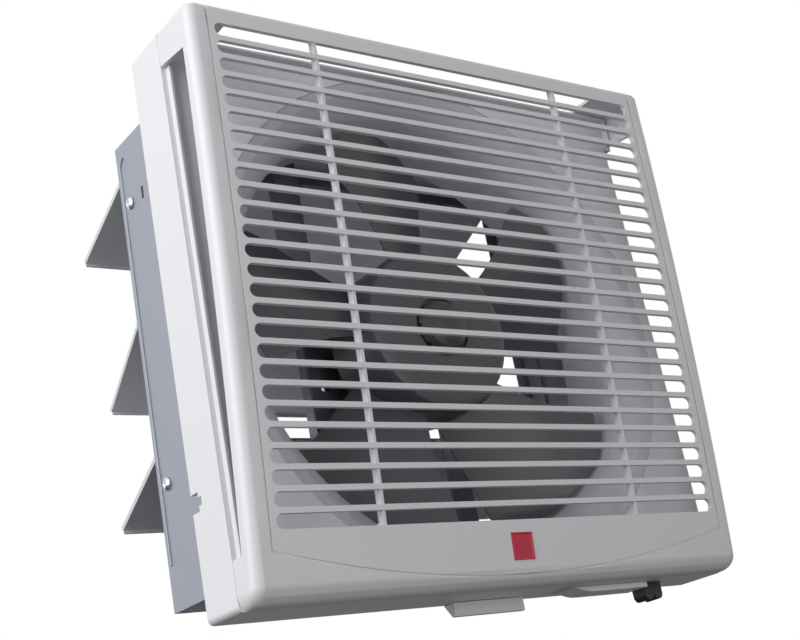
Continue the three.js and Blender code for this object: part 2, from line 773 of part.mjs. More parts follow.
// Upright strips inside the side sheets carry the ends of the flap rods.
function buildHingeStrip(name, side) {
  const x0 = side > 0 ? stripHalfSpan - stripThickness : -stripHalfSpan;
  const x1 = x0 + stripThickness;
  const strip = box(x0, x1, flapPivotY - stripWidth / 2, flapPivotY + stripWidth / 2,
    boxBottom + sheet + runGap, boxTop - sheet - runGap);
  const boreRadius = boreAround(rodRadius, rodSegments);
  const rodHoles = Array.from({ length: flapCount }, (_, row) =>
    cylinderX(boreRadius, x0 - 1, x1 + 1, flapPivotY, flapPivotZ(row), rodSegments));
  const screwHoles = stripScrewPlaces.map(({ y, z }) => cylinderX(boreClearance, x0 - 1, x1 + 1, y, z));
  addPart(name, cut(strip, ...rodHoles, ...screwHoles), materials.steel);
}

// ---------------------------------------------------------------- screws

// A pan-head screw along +Y: the head stands on y = 0 and the shank runs to +Y.
function screwBody(length) {
  const head = [[0, -screwHeadHeight], [screwCrownRadius, -screwHeadHeight],
    [screwHeadRadius, -screwRimHeight], [screwHeadRadius, 0]];
  const shank = [[screwRadius, 0], [screwRadius, length], [0, length]];
  return turned([...head, ...shank], screwSegments);
}

function addScrew(name, length, place, turn = [0, 0, 0]) {
  const screw = addPart(name, screwBody(length), materials.bright);
  screw.position.set(...place);
  screw.rotation.set(...turn);
}

function buildScrews() {
  const fromBehind = [0, 0, Math.PI];
  const orificeSeat = lugRear + runGap;
  const orificeLength = orificeSeat - blindHoleFront - screwEndGap;
  const motorSeat = motorSplit - motorPlateThickness - runGap;
  const motorLength = stayFront + staySheet - motorSeat + screwEndGap;
  const stayLength = sheet + staySheet + 2 * runGap + screwEndGap;
  quarterPlaces.forEach(([sx, sz], place) => {
    const number = place + 1;
    const basePlace = [sx * baseScrewX, flangeRear + runGap, sz * baseScrewZ];
    addScrew(`base_screw_${number}`, baseScrewLength, basePlace, fromBehind);
    const orificePlace = [sx * lugScrewOffset, orificeSeat, sz * lugScrewOffset];
    addScrew(`orifice_screw_${number}`, orificeLength, orificePlace, fromBehind);
    addScrew(`motor_screw_${number}`, motorLength, [sx * stayOffset, motorSeat, sz * motorScrewZ]);
    const level = sz > 0 ? boxTop + runGap : boxBottom - runGap;
    const stayPlace = [sx * stayOffset, stayScrewY, level];
    addScrew(`stay_screw_${number}`, stayLength, stayPlace, [(-sz * Math.PI) / 2, 0, 0]);
  });
  const stripLength = sheet + stripThickness + runGap + screwEndGap;
  [-1, 1].forEach((side) => {
    stripScrewPlaces.forEach(({ y, z }, place) => {
      const label = side < 0 ? 'left' : 'right';
      addScrew(`strip_screw_${label}_${place + 1}`, stripLength, [side * (boxHalfWidth + runGap), y, z],
        [0, 0, (side * Math.PI) / 2]);
    });
  });
}

// ---------------------------------------------------------------- motor

function buildMotor() {
  const boreRadius = boreAround(shaftRadius, shaftSegments);
  const bore = (y0, y1) => cylinderY(boreRadius, y0, y1, 0, 0, shaftSegments);
  const shoulderFront = motorFront + motorNoseSlope;
  const front = turned([[0, motorFront], [motorNoseRadius, motorFront], [motorShoulderRadius, shoulderFront],
    [motorRadius, shoulderFront + motorShoulder], [motorRadius, motorSplit], [0, motorSplit]], motorSegments);
  const plateFront = motorSplit - motorPlateThickness;
  const plateShape = roundedRectangle(motorPlateHalfWidth, motorPlateHalfHeight, motorPlateCorner);
  const plate = extrudeAlongY(plateShape, plateFront, motorSplit, cornerSteps);
  const plateHoles = quarterPlaces.map(([sx, sz]) =>
    cylinderY(boreClearance, plateFront - 1, motorSplit + 1, sx * stayOffset, sz * motorScrewZ));
  addPart('motor_front_shell', cut(join(front, plate), bore(motorFront - 1, motorSplit + 1), ...plateHoles),
    materials.motor);
  const rear = turned([[0, motorSplit + runGap], [motorRadius, motorSplit + runGap],
    [motorRadius, motorRear - motorShoulder], [motorRearRadius, motorRear], [0, motorRear]], motorSegments);
  addPart('motor_rear_shell', cut(rear, bore(motorSplit, shaftRear + runGap)), materials.motor);
}

// A folded channel from the bottom sheet to the top sheet, with a foot at each end.
function buildStay(name, side) {
  const centre = side * stayOffset;
  const x0 = centre - stayWidth / 2;
  const x1 = centre + stayWidth / 2;
  const back = stayFront + stayFlange;
  const low = boxBottom + sheet + runGap;
  const high = boxTop - sheet - runGap;
  const web = box(x0, x1, stayFront, stayFront + staySheet, low, high);
  const flange = side > 0 ? box(x1 - staySheet, x1, stayFront, back, low, high)
    : box(x0, x0 + staySheet, stayFront, back, low, high);
  const foot = (z0) => box(x0, x1, stayFront - stayFootLength, stayFront + staySheet, z0, z0 + staySheet);
  const holes = [-1, 1].map((end) =>
    cylinderY(boreClearance, stayFront - 1, stayFront + staySheet + 1, centre, end * motorScrewZ));
  for (const z0 of [low, high - staySheet]) {
    holes.push(cylinderZ(boreClearance, z0 - 1, z0 + staySheet + 1, centre, stayScrewY));
  }
  addPart(name, cut(join(web, flange, foot(low), foot(high - staySheet)), ...holes), materials.steel);
}

// ---------------------------------------------------------------- impeller

// Share of the way from hub to tip at a radius.
const bladeReach = (r) => (r - hubRadius) / (impellerRadius - hubRadius);

// The edges of a blade in plan, in degrees: the leading edge sweeps forward, and both
// outer corners are rounded off by falling back near the tip.
function bladeEdges(r) {
  const reach = Math.max(bladeReach(r), 0);
  const fade = ({ start, degrees }) => degrees * Math.max(0, (reach - start) / (1 - start)) ** cornerPower;
  const sweep = bladeSweepDegrees * reach ** bladeSweepPower;
  const flare = bladeRootFlare.degrees * (1 - reach) ** bladeRootFlare.power;
  const leading = bladeTrailingDegrees + bladeRootSpanDegrees + sweep + flare - fade(leadingCorner);
  const trailing = bladeTrailingDegrees + bladeTrailingSlantDegrees * reach - flare + fade(trailingCorner);
  return { leading, trailing };
}

// A point on the blade's middle surface; along runs from the leading to the trailing edge.
function bladePoint(r, along) {
  const reach = Math.max(bladeReach(r), 0);
  const { leading, trailing } = bladeEdges(r);
  const angle = radians(lerp(leading, trailing, along));
  const leadingY = lerp(bladeRootLeadingY, bladeTipLeadingY, reach ** bladeLeanPower);
  const camber = lerp(bladeCamberPower.root, bladeCamberPower.tip, reach);
  const y = lerp(leadingY, bladeTrailingY, along ** camber);
  return new THREE.Vector3(r * Math.cos(angle), y, r * Math.sin(angle));
}

// One section of the blade at a radius: out along the front face, back along the rear.
function bladeSection(r) {
  const reach = Math.max(bladeReach(r), 0);
  const half = lerp(bladeRootThickness, bladeTipThickness, reach) / 2;
  const front = [];
  const rear = [];
  for (let step = 0; step <= bladeChordSteps; step += 1) {
    const along = step / bladeChordSteps;
    const thin = Math.max(bladeEdgeShare, Math.sqrt(Math.sin(Math.PI * along)));
    const point = bladePoint(r, along);
    front.push(point.clone().add(new THREE.Vector3(0, -half * thin, 0)));
    rear.push(point.clone().add(new THREE.Vector3(0, half * thin, 0)));
  }
  return [...front, ...rear.reverse()];
}

// Sections are joined strip by strip, and the two end sections are closed across.
function buildBlade() {
  const rootRadius = hubRadius - hubWall / 2;
  const sections = [];
  for (let step = 0; step <= bladeRadialSteps; step += 1) {
    const share = (step / bladeRadialSteps) ** bladeStepPower;
    sections.push(bladeSection(lerp(rootRadius, impellerRadius, share)));
  }
  const count = sections[0].length;
  const positions = sections.flat().flatMap((point) => [point.x, point.y, point.z]);
  const index = [];
  for (let ring = 0; ring < sections.length - 1; ring += 1) {
    for (let side = 0; side < count; side += 1) {
      const a = ring * count + side;
      const b = ring * count + ((side + 1) % count);
      index.push(a, b, a + count, b, b + count, a + count);
    }
  }
  const last = (sections.length - 1) * count;
  for (let step = 0; step < bladeChordSteps; step += 1) {
    const far = count - 1 - step;
    index.push(step, far, step + 1, step + 1, far, far - 1);
    index.push(last + step, last + step + 1, last + far, last + step + 1, last + far - 1, last + far);
  }
  const geometry = new THREE.BufferGeometry();
  geometry.setAttribute('position', new THREE.Float32BufferAttribute(positions, 3));
  geometry.setIndex(index);
  return toSolid(geometry);
}

function hubBody() {
  const inner = hubRadius - hubWall;
  const bore = boreAround(shaftRadius, shaftSegments);
  const seat = hubFront + hubSeatDepth;
  const seatRadius = spinnerRadius + hubSeatMargin;
  const floorRear = hubFront + hubWall + hubFloor;
  const profile = [
    [bore, seat], [seatRadius, seat], [seatRadius, hubFront - hubSeatRim],
    [hubRadius - hubShoulder, hubFront], [hubRadius - hubShoulderEase, hubFront + hubShoulderEase],
    [hubRadius, hubFront + hubShoulder], [hubRadius, hubRear], [inner, hubRear],
    [inner, hubFront + hubShoulder + hubWall], [inner - hubShoulder, floorRear],
    [hubBossRadius, floorRear], [hubBossRadius, hubBossRear], [bore, hubBossRear],
  ];
  return turned([...profile, profile[0]], hubSegments);
}

function buildImpeller() {
  const blade = buildBlade();
  const blades = Array.from({ length: bladeCount }, (_, place) =>
    blade.rotate([0, (place * 360) / bladeCount, 0]));
  addPart('impeller', join(hubBody(), ...blades), materials.impeller);
}

function buildShaftLine() {
  const shaft = cylinderY(shaftRadius, shaftFront, shaftRear, 0, 0, shaftSegments);
  addPart('motor_shaft', shaft, materials.bright);
  const boreRadius = boreAround(shaftRadius, shaftSegments);
  const seat = hubFront + hubSeatDepth - runGap;
  const washerFront = seat - washerThickness;
  const washer = cut(cylinderY(washerRadius, washerFront, seat, 0, 0, shaftSegments),
    cylinderY(boreRadius, washerFront - 1, seat + 1, 0, 0, shaftSegments));
  addPart('shaft_washer', washer, materials.bright);
  const back = washerFront - runGap;
  const tip = back - spinnerLength;
  const cap = turned([[0, tip], [spinnerTipRadius, tip + spinnerTipRound],
    [spinnerMidRadius, tip + spinnerMidDepth], [spinnerRadius, back], [0, back]], spinnerSegments);
  const flutes = Array.from({ length: spinnerFlutes }, (_, place) => {
    const angle = (2 * Math.PI * place) / spinnerFlutes;
    const reach = spinnerRadius + spinnerFluteOffset;
    return cylinderY(spinnerFluteRadius, tip - 1, back + 1, reach * Math.cos(angle), reach * Math.sin(angle));
  });
  const bore = cylinderY(boreRadius, shaftFront - runGap, back + 1, 0, 0, shaftSegments);
  addPart('spinner_nut', cut(cap, ...flutes, bore), materials.spinner);
}

// ---------------------------------------------------------------- wiring side and catch

// The gland hangs below the base: a block with two rounded lobes and a round neck above.
function buildCordGland() {
  const top = -halfHeight - runGap;
  const bottom = top - glandHeight;
  const y0 = glandY - glandDepth / 2;
  const y1 = glandY + glandDepth / 2;
  const lobeOffset = glandWidth / 2 - glandLobeRadius;
  const block = box(glandX - glandWidth / 2, glandX + glandWidth / 2, y0, y1, bottom + glandLobeRadius, top);
  const lobes = [-1, 1].map((side) =>
    cylinderY(glandLobeRadius, y0, y1, glandX + side * lobeOffset, bottom + glandLobeRadius, glandSegments));
  const neck = cylinderZ(glandNeckRadius, top - 1, top + glandNeckHeight, glandX, glandY, glandSegments);
  const neckTop = top + glandNeckHeight;
  const bore = cylinderZ(cordBoreRadius, bottom - 1, neckTop + 1, glandX, glandY, glandSegments);
  addPart('cord_gland', cut(join(block, ...lobes, neck), bore), materials.black);
}

// A low swell under the base, where the wires run from the middle to the gland.
function buildWireCover() {
  const end = glandX - glandWidth / 2 - runGap;
  const top = -halfHeight - runGap;
  const low = top - wireCoverHeight;
  const swellEnd = wireCoverStartX + wireCoverSlope;
  const side = new THREE.Shape();
  side.moveTo(wireCoverStartX, top);
  const swellMiddle = (wireCoverStartX + swellEnd) / 2;
  side.bezierCurveTo(swellMiddle, top, swellMiddle, low, swellEnd, low);
  side.lineTo(end, low);
  side.lineTo(end, top);
  side.closePath();
  const y0 = glandY - wireCoverDepth / 2;
  addPart('wire_cover', extrudeAlongY(side, y0, y0 + wireCoverDepth, wireCoverSteps), materials.base);
}

function buildTerminalBox() {
  const x1 = baseScrewX - bossRadius - terminalBoxFromBoss;
  const z0 = -halfHeight + baseWall + runGap;
  const y0 = plateBack + runGap;
  const size = terminalBoxSize;
  addPart('terminal_box', box(x1 - size.x, x1, y0, y0 + size.y, z0, z0 + size.z), materials.base);
}

function buildCatch() {
  const top = -halfHeight - runGap;
  const outline = [[catchFront, top], [catchRear, top], [catchFront + catchNose, top - catchHeight],
    [catchFront, top - catchHeight]];
  addPart('cover_catch', extrudeAlongX(outline, -catchHalfWidth, catchHalfWidth), materials.cover);
}

// ---------------------------------------------------------------- assembly

buildFrontGrille();
buildBaseFrame();
buildBellmouth();
buildBodyBox();
buildHingeStrip('hinge_strip_left', -1);
buildHingeStrip('hinge_strip_right', 1);
buildFlaps();
buildStay('motor_stay_left', -1);
buildStay('motor_stay_right', 1);
buildMotor();
buildImpeller();
buildShaftLine();
buildScrews();
buildCordGland();
buildWireCover();
buildTerminalBox();
buildCatch();

export default fan;
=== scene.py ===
"""Looks of a wall exhaust fan, laid out as an add-on and run as a script."""

import math

import bmesh
import bpy
from mathutils import Matrix, Vector


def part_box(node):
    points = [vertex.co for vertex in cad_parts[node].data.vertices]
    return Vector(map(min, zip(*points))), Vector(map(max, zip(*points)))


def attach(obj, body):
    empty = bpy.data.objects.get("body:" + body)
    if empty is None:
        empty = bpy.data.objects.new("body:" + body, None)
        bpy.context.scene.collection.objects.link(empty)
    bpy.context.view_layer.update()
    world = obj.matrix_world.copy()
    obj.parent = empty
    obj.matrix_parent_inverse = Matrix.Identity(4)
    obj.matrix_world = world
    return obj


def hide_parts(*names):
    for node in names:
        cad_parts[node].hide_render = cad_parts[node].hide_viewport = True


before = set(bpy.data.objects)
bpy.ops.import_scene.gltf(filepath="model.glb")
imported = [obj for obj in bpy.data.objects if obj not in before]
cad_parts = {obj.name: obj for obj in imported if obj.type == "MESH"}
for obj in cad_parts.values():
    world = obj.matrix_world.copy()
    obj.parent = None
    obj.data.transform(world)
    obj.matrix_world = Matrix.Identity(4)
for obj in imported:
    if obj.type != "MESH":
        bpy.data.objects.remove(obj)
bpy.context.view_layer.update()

bl_info = {
    "name": "Wall exhaust fan",
    "version": (1, 0, 0),
    "blender": (4, 5, 0),
    "location": "3D View > Sidebar > Exhaust fan",
    "description": "Builds the finished pieces, materials, lights and camera of a wall exhaust fan",
    "category": "Object",
}

MM = 0.001

# The cover's size and the run of its groove, as the CAD part has them.
HALF_WIDTH = 200 * MM
HALF_HEIGHT = 187 * MM
BASE_DEPTH = 37 * MM
DEPTH_TOP = 40.5 * MM
DEPTH_BOTTOM = 18 * MM
BULGE = 4.2 * MM
TOP_ROUND = 5 * MM
TOP_WALL = 2.5 * MM
OPENING_FROM_FRONT = 10 * MM
OPENING_FROM_SIDE = 37 * MM
GROOVE_FROM_SIDE = 14 * MM
GROOVE_RISE = 5.8 * MM
GROOVE_ARC = 759 * MM

# Points of a CAD mesh that lie this near each other are one point.
MERGE_WITHIN = 0.002 * MM

# How finely the groove follows its path, and how near it the cover's edges stay sharp.
GROOVE_ARC_STEPS = 16
GROOVE_UPRIGHT_STEPS = 30
GROOVE_SHORT_OF_TOP = 0.2 * MM
GROOVE_CLEAR = 1.6 * MM
FRONT_SKIN = 2 * MM

# The rib that hangs from the cover's top.
RIB_THICKNESS = 1.6 * MM
RIB_DROP = 6 * MM
RIB_SINK = 0.2 * MM

# The plain plate's place on the lower band, and its rim as shares of its side and thickness.
PLATE_X = -1.9 * MM
PLATE_HEIGHT = -163.3 * MM
PLATE_RIM = 0.06
PLATE_RIM_SLOPE = 0.5
PLATE_DISH = 0.45

# The bead along the rear edge of each steel side.
BODY_HALF_WIDTH = 174 * MM
BEAD_FROM_REAR = 4.6 * MM
BEAD_FROM_TOP = 20 * MM
BEAD_FROM_BOTTOM = 30 * MM
BEAD_TURN = 9 * MM
BEAD_TURN_STEPS = 7
BEAD_TURN_DEGREES = 70

# The cross recess in the screw heads.
RECESS_DEPTH = 1.5 * MM
RECESS_TAPER = 0.55

# The stage: lamps in metres from the fan's axis, and the camera of the photograph.
KEY_PLACE = (-1.65, -0.3, 0.5)
KEY_SIZE = 1.5
FILL_PLACE = (-0.1, -2.2, -0.6)
BACK_PLACE = (0.5, 2.4, 1.0)
WIDE_SIZE = 1.8
FLOOR_SIZE = 14.0
FLOOR_BOUNCE = 0.18
CAMERA_PLACE = (-0.5932, -0.7106, -0.3054)
CAMERA_RIGHT = (0.80264, -0.56804, -0.18193)
CAMERA_AHEAD = (0.59408, 0.73417, 0.32872)
CAMERA_LENS = 62.5
CAMERA_SENSOR = 36.0
CAMERA_NEAREST = 0.05


def front_y(z):
    """Where the cover's front face lies at a height: it leans back downwards and swells along a long arc."""
    rise = (z + HALF_HEIGHT) / (2 * HALF_HEIGHT)
    past = min(TOP_ROUND, max(0.0, z - HALF_HEIGHT + TOP_ROUND))
    rounded = TOP_ROUND - math.sqrt(TOP_ROUND ** 2 - past ** 2)
    straight = DEPTH_BOTTOM + (DEPTH_TOP - DEPTH_BOTTOM) * rise
    return rounded - BASE_DEPTH - straight - 4 * BULGE * rise * (1 - rise)


# ---------------------------------------------------------------- settings

class FanSizes(bpy.types.PropertyGroup):
    grille_edge: bpy.props.FloatProperty(
        name="Grille edge radius", description="Rounding of the bars and the cover's edges",
        default=1.1 * MM, min=0.0, unit="LENGTH")
    base_edge: bpy.props.FloatProperty(
        name="Base edge radius", description="Rounding of the base frame's edges",
        default=0.6 * MM, min=0.0, unit="LENGTH")
    sheet_edge: bpy.props.FloatProperty(
        name="Sheet edge radius", description="Rounding of the folded and cut steel edges",
        default=0.35 * MM, min=0.0, unit="LENGTH")
    blade_edge: bpy.props.FloatProperty(
        name="Blade edge radius", description="Rounding of the impeller's edges",
        default=0.4 * MM, min=0.0, unit="LENGTH")
    rod_edge: bpy.props.FloatProperty(
        name="Rod edge radius", description="Rounding of the flap rods' ends",
        default=0.4 * MM, min=0.0, unit="LENGTH")
    motor_edge: bpy.props.FloatProperty(
        name="Motor edge radius", description="Rounding of the pressed motor shells",
        default=0.6 * MM, min=0.0, unit="LENGTH")
    screw_edge: bpy.props.FloatProperty(
        name="Screw edge radius", description="Rounding of the screw heads",
        default=0.3 * MM, min=0.0, unit="LENGTH")
    groove_width: bpy.props.FloatProperty(
        name="Groove width", description="Width of the fine groove round the front",
        default=1.4 * MM, min=0.0, unit="LENGTH")
    groove_depth: bpy.props.FloatProperty(
        name="Groove depth", description="Depth of the fine groove round the front",
        default=1.2 * MM, min=0.0, unit="LENGTH")
    recess_width: bpy.props.FloatProperty(
        name="Screw recess width", description="Width of one arm of the cross recess in the screw heads",
        default=1.1 * MM, min=0.0, unit="LENGTH")
    recess_length: bpy.props.FloatProperty(
        name="Screw recess length", description="Length of the cross recess over both arms",
        default=4.6 * MM, min=0.0, unit="LENGTH")
    bead_width: bpy.props.FloatProperty(
        name="Bead width", description="Width of the bead along the rear edge of the steel sides",
        default=2.0 * MM, min=0.0, unit="LENGTH")
    badge_side: bpy.props.FloatProperty(
        name="Badge side", description="Side of the plain square plate on the lower band",
        default=17.5 * MM, min=0.0, unit="LENGTH")
    badge_thickness: bpy.props.FloatProperty(
        name="Badge thickness", description="How far the plain plate stands proud",
        default=0.5 * MM, min=0.0, unit="LENGTH")


def colour_property(name, description, default):
    return bpy.props.StringProperty(name=name, description=description, default=default)


class FanColours(bpy.types.PropertyGroup):
    # The grille's colour is a shade darker than the base's: painted shade of the front, the two being one
    # plastic.
    grille: colour_property("Grille", "sRGB hex of the grille cover", "#E6E5E9")
    base: colour_property("Base", "sRGB hex of the base frame", "#E9E8EC")
    bellmouth: colour_property("Bellmouth", "sRGB hex of the bellmouth", "#D2D0D6")
    steel: colour_property("Body steel", "sRGB hex of the steel body box", "#9CA1AD")
    flap: colour_property("Flaps", "sRGB hex of the shutter flaps", "#D3D4DA")
    plating: colour_property("Plating", "sRGB hex of the zinc-plated fasteners", "#D6D7DA")
    motor: colour_property("Motor", "sRGB hex of the motor shells", "#6C6E75")
    impeller: colour_property("Impeller", "sRGB hex of the impeller", "#5B585E")
    spinner: colour_property("Spinner", "sRGB hex of the spinner nut", "#4A484D")
    gland: colour_property("Gland", "sRGB hex of the cord gland", "#18171A")
    badge: colour_property("Badge", "sRGB hex of the plain plate", "#C40A38")
    floor: colour_property("Floor", "sRGB hex of the floor", "#F4F4F4")


class FanStage(bpy.types.PropertyGroup):
    key_power: bpy.props.FloatProperty(
        name="Key light", description="Power of the large lamp on the left", default=27.5, unit="POWER")
    fill_power: bpy.props.FloatProperty(
        name="Fill light", description="Power of the lamp in front", default=17.0, unit="POWER")
    back_power: bpy.props.FloatProperty(
        name="Back light", description="Power of the lamp behind", default=14.0, unit="POWER")
    world_strength: bpy.props.FloatProperty(
        name="World", description="Strength of the even light from all round", default=0.17)
    floor_height: bpy.props.FloatProperty(
        name="Floor height", description="Height of the floor below the fan's axis",
        default=-0.9, unit="LENGTH")


# ---------------------------------------------------------------- material helpers

def linear(hex_colour):
    """An sRGB hex colour as linear RGBA."""
    channels = [int(hex_colour[i:i + 2], 16) / 255 for i in (1, 3, 5)]
    return [c / 12.92 if c <= 0.04045 else ((c + 0.055) / 1.055) ** 2.4 for c in channels] + [1.0]


def add(tree, kind, inputs=None, **settings):
    """Adds a node with its settings, values and links."""
    made = tree.nodes.new(kind)
    for name, value in settings.items():
        setattr(made, name, value)
    for name, value in (inputs or {}).items():
        if isinstance(value, bpy.types.NodeSocket):
            tree.links.new(value, made.inputs[name])
        else:
            made.inputs[name].default_value = value
    return made


def new_material(name):
    material = bpy.data.materials.new(name)
    material.use_nodes = True
    material.node_tree.nodes.clear()
    return material


def tone(hex_colour, factor):
    """The colour made lighter or darker by a factor."""
    return [min(1.0, channel * factor) for channel in linear(hex_colour)[:3]] + [1.0]


def surface(name, hex_colour, patch_mm, shade, grain_mm, grain_depth_mm, roughness, spread, **shader):
    """A moulded or painted surface: broad patches of tone, fine grain, and roughness that follows them."""
    material = new_material(name)
    tree = material.node_tree
    place = add(tree, "ShaderNodeTexCoord").outputs["Object"]
    patches = add(tree, "ShaderNodeTexNoise",
                  {"Vector": place, "Scale": 1 / (patch_mm * MM), "Detail": 4.0, "Roughness": 0.55})
    grain = add(tree, "ShaderNodeTexNoise",
                {"Vector": place, "Scale": 1 / (grain_mm * MM), "Detail": 2.0, "Roughness": 0.5})
    colour = add(tree, "ShaderNodeMix", {0: patches.outputs["Fac"], 6: tone(hex_colour, 1 - shade),
                                         7: tone(hex_colour, 1 + shade)}, data_type="RGBA")
    dull = add(tree, "ShaderNodeMapRange", {"Value": patches.outputs["Fac"], "From Min": 0.3, "From Max": 0.7,
                                            "To Min": roughness - spread, "To Max": roughness + spread})
    bump = add(tree, "ShaderNodeBump", {"Height": grain.outputs["Fac"], "Strength": 0.6,
                                        "Distance": grain_depth_mm * MM})
    shade_node = add(tree, "ShaderNodeBsdfPrincipled",
                     {"Base Color": colour.outputs[2], "Roughness": dull.outputs["Result"],
                      "Normal": bump.outputs["Normal"], **shader})
    add(tree, "ShaderNodeOutputMaterial", {"Surface": shade_node.outputs["BSDF"]})
    return material


def make_materials(colours):
    """Every finish of the fan, by the name the operators use."""
    return {
        # Injection-moulded ABS, spark-eroded mould: an even satin with a very fine grain; its colour is a
        # shade darker than the base's, which is painted shade on the front.
        "grille": surface("satin_abs_grille", colours.grille, 90, 0.015, 0.9, 0.012, 0.42, 0.03, IOR=1.53),
        # The same ABS, a little glossier, as its flat sides leave the mould; its colour is a shade lighter
        # than the grille's, the grille's colour holding painted shade.
        "base": surface("satin_abs_base", colours.base, 120, 0.012, 0.9, 0.010, 0.36, 0.03, IOR=1.53),
        # Polypropylene bellmouth: waxy, slightly duller.
        "bellmouth": surface("polypropylene_bellmouth", colours.bellmouth, 80, 0.02, 1.2, 0.014, 0.46, 0.04,
                             IOR=1.49),
        # Silver-grey stoving enamel on folded steel sheet: faint orange peel, soft gloss.
        "steel": surface("enamelled_steel_sheet", colours.steel, 60, 0.03, 2.5, 0.030, 0.38, 0.05,
                         IOR=1.5, **{"Metallic": 0.35}),
        # Rolled aluminium sheet under a matt clear lacquer: dull grey, softly reflecting.
        "flap": surface("rolled_aluminium_sheet", colours.flap, 45, 0.04, 1.6, 0.016, 0.42, 0.06,
                        **{"Metallic": 0.1}),
        # Bright zinc plating on steel.
        "plating": surface("bright_zinc_plating", colours.plating, 6, 0.05, 0.8, 0.006, 0.26, 0.06,
                           **{"Metallic": 1.0}),
        # Grey baked enamel on the pressed motor shells.
        "motor": surface("baked_enamel_motor", colours.motor, 30, 0.03, 1.4, 0.020, 0.45, 0.05, IOR=1.5),
        # Dark grey moulded polypropylene blades: satin, with a soft sheen along the curve.
        "impeller": surface("moulded_pp_impeller", colours.impeller, 70, 0.03, 1.1, 0.014, 0.34, 0.04,
                            IOR=1.49),
        "spinner": surface("moulded_pp_spinner", colours.spinner, 20, 0.03, 0.9, 0.012, 0.36, 0.04, IOR=1.49),
        # Black polyamide gland: matt, coarse grain.
        "gland": surface("black_polyamide_gland", colours.gland, 15, 0.10, 0.8, 0.020, 0.5, 0.05, IOR=1.53),
        # Plain red enamel plate, smooth and glossy.
        "badge": surface("red_enamel_plate", colours.badge, 12, 0.03, 1.0, 0.003, 0.25, 0.02, IOR=1.5),
    }


# ---------------------------------------------------------------- modelling helpers

def only(piece):
    """Selects one piece alone and makes it active."""
    bpy.ops.object.select_all(action="DESELECT")
    piece.select_set(True)
    bpy.context.view_layer.objects.active = piece


def apply_modifier(piece, name, kind, **settings):
    only(piece)
    modifier = piece.modifiers.new(name, kind)
    for key, value in settings.items():
        setattr(modifier, key, value)
    bpy.ops.object.modifier_apply(modifier=modifier.name)


def smooth(piece, degrees):
    only(piece)
    bpy.ops.object.shade_smooth_by_angle(angle=math.radians(degrees))


def soften_edges(piece, width, segments=2, sharper_than=30, spare=None):
    """Rounds the sharp edges, but for those whose middle is spared, and shades the flat faces evenly."""
    shape = bmesh.new()
    shape.from_mesh(piece.data)
    weight = shape.edges.layers.float.new("bevel_weight_edge")
    for edge in shape.edges:
        middle = (edge.verts[0].co + edge.verts[1].co) / 2
        sharp = edge.calc_face_angle(0.0) > math.radians(sharper_than)
        edge[weight] = 1.0 if sharp and not (spare and spare(middle)) else 0.0
    shape.to_mesh(piece.data)
    shape.free()
    apply_modifier(piece, "edge_round", "BEVEL", width=width, segments=segments, limit_method="WEIGHT",
                   use_clamp_overlap=True, miter_outer="MITER_ARC")
    smooth(piece, sharper_than)
    apply_modifier(piece, "face_weights", "WEIGHTED_NORMAL", keep_sharp=True, weight=100)


def finished_copy(node, piece_name, flat_within=0.2):
    """A merged copy of a CAD solid, with its flat faces made whole, ready for rounding."""
    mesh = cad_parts[node].data.copy()
    mesh.materials.clear()
    piece = bpy.data.objects.new(piece_name, mesh)
    bpy.context.scene.collection.objects.link(piece)
    only(piece)
    bpy.ops.object.mode_set(mode="EDIT")
    bpy.ops.mesh.select_all(action="SELECT")
    bpy.ops.mesh.remove_doubles(threshold=MERGE_WITHIN)
    bpy.ops.mesh.dissolve_limited(angle_limit=math.radians(flat_within))
    bpy.ops.object.mode_set(mode="OBJECT")
    return piece


def dress(piece, material, body, slot, *nodes):
    piece.data.materials.clear()
    piece.data.materials.append(material)
    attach(piece, body)
    if nodes:
        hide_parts(*nodes)
    return piece


def dress_node(node, material):
    """Gives a CAD node that stays as it is a finished material."""
    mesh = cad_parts[node].data
    mesh.materials.clear()
    mesh.materials.append(material)


def add_start(kind, name, place=(0, 0, 0), **sizes):
    """Adds a primitive to shape further, with nothing else selected."""
    bpy.ops.object.select_all(action="DESELECT")
    getattr(bpy.ops.mesh, "primitive_" + kind + "_add")(location=place, **sizes)
    piece = bpy.context.active_object
    piece.name = name
    return piece


def settle(piece):
    """Puts the piece's place, turn and scale into its mesh."""
    only(piece)
    bpy.ops.object.transform_apply(location=True, rotation=True, scale=True)


def select_faces(piece, wanted):
    """Selects the faces that the test wants, in edit mode."""
    bpy.ops.mesh.select_mode(type="FACE")
    bpy.ops.mesh.select_all(action="DESELECT")
    shape = bmesh.from_edit_mesh(piece.data)
    for face in shape.faces:
        face.select_set(wanted(face))
    bmesh.update_edit_mesh(piece.data)


def take_away(piece, cutter, keep_cutter=False):
    """Cuts one piece out of another."""
    apply_modifier(piece, "cut", "BOOLEAN", operation="DIFFERENCE", solver="MANIFOLD", object=cutter)
    if not keep_cutter:
        bpy.data.objects.remove(cutter)


finishes = {}


# ---------------------------------------------------------------- operators

class FAN_OT_materials(bpy.types.Operator):
    """Makes the finishes that the pieces use"""
    bl_idname = "fan.materials"
    bl_label = "Finishes"

    def execute(self, context):
        finishes.update(make_materials(context.scene.fan_colours))
        return {"FINISHED"}


